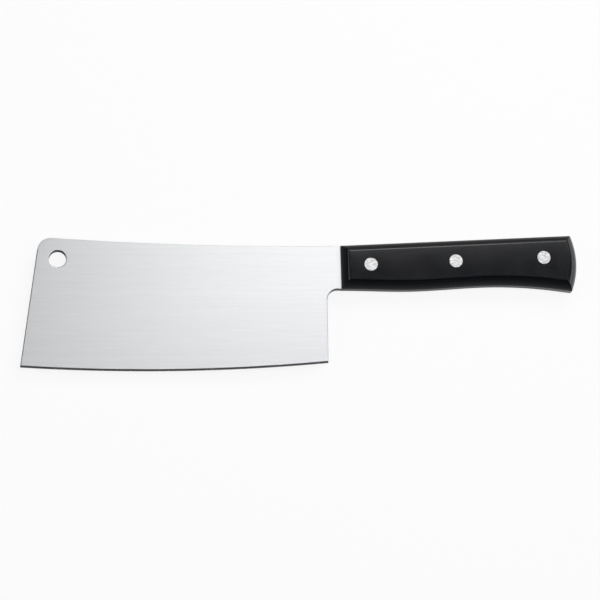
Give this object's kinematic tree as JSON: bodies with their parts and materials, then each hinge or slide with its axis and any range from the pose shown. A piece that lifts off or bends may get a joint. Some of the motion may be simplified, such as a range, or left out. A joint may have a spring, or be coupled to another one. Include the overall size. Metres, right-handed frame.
{
  "type": "kitchen cleaver",
  "caption": "Kitchen cleaver with a broad brushed-steel blade on a full tang, a hanging hole in the toe corner, and black handle scales riveted through the tang.",
  "frame": {"origin": "centre of the bounding box in X and Y, on the table plane under the back scale", "axes": "+X from the toe of the blade towards the tail of the handle, +Y from the cutting edge towards the spine, +Z through the thickness, out of the pictured side"},
  "size_m": [0.2918, 0.0718, 0.0181],
  "materials": {
    "blade_steel": "satin, brushed along the blade",
    "scale_plastic": "black satin, moulded and ground flush with the tang",
    "rivet_steel": "ground flush, satin"
  },
  "bodies": {
    "root": {"blade": "blade_steel", "front_scale": "scale_plastic", "back_scale": "scale_plastic", "fore_rivet_socket": "rivet_steel", "fore_rivet_pin": "rivet_steel", "middle_rivet_socket": "rivet_steel", "middle_rivet_pin": "rivet_steel", "tail_rivet_socket": "rivet_steel", "tail_rivet_pin": "rivet_steel"}
  },
  "joints": []
}
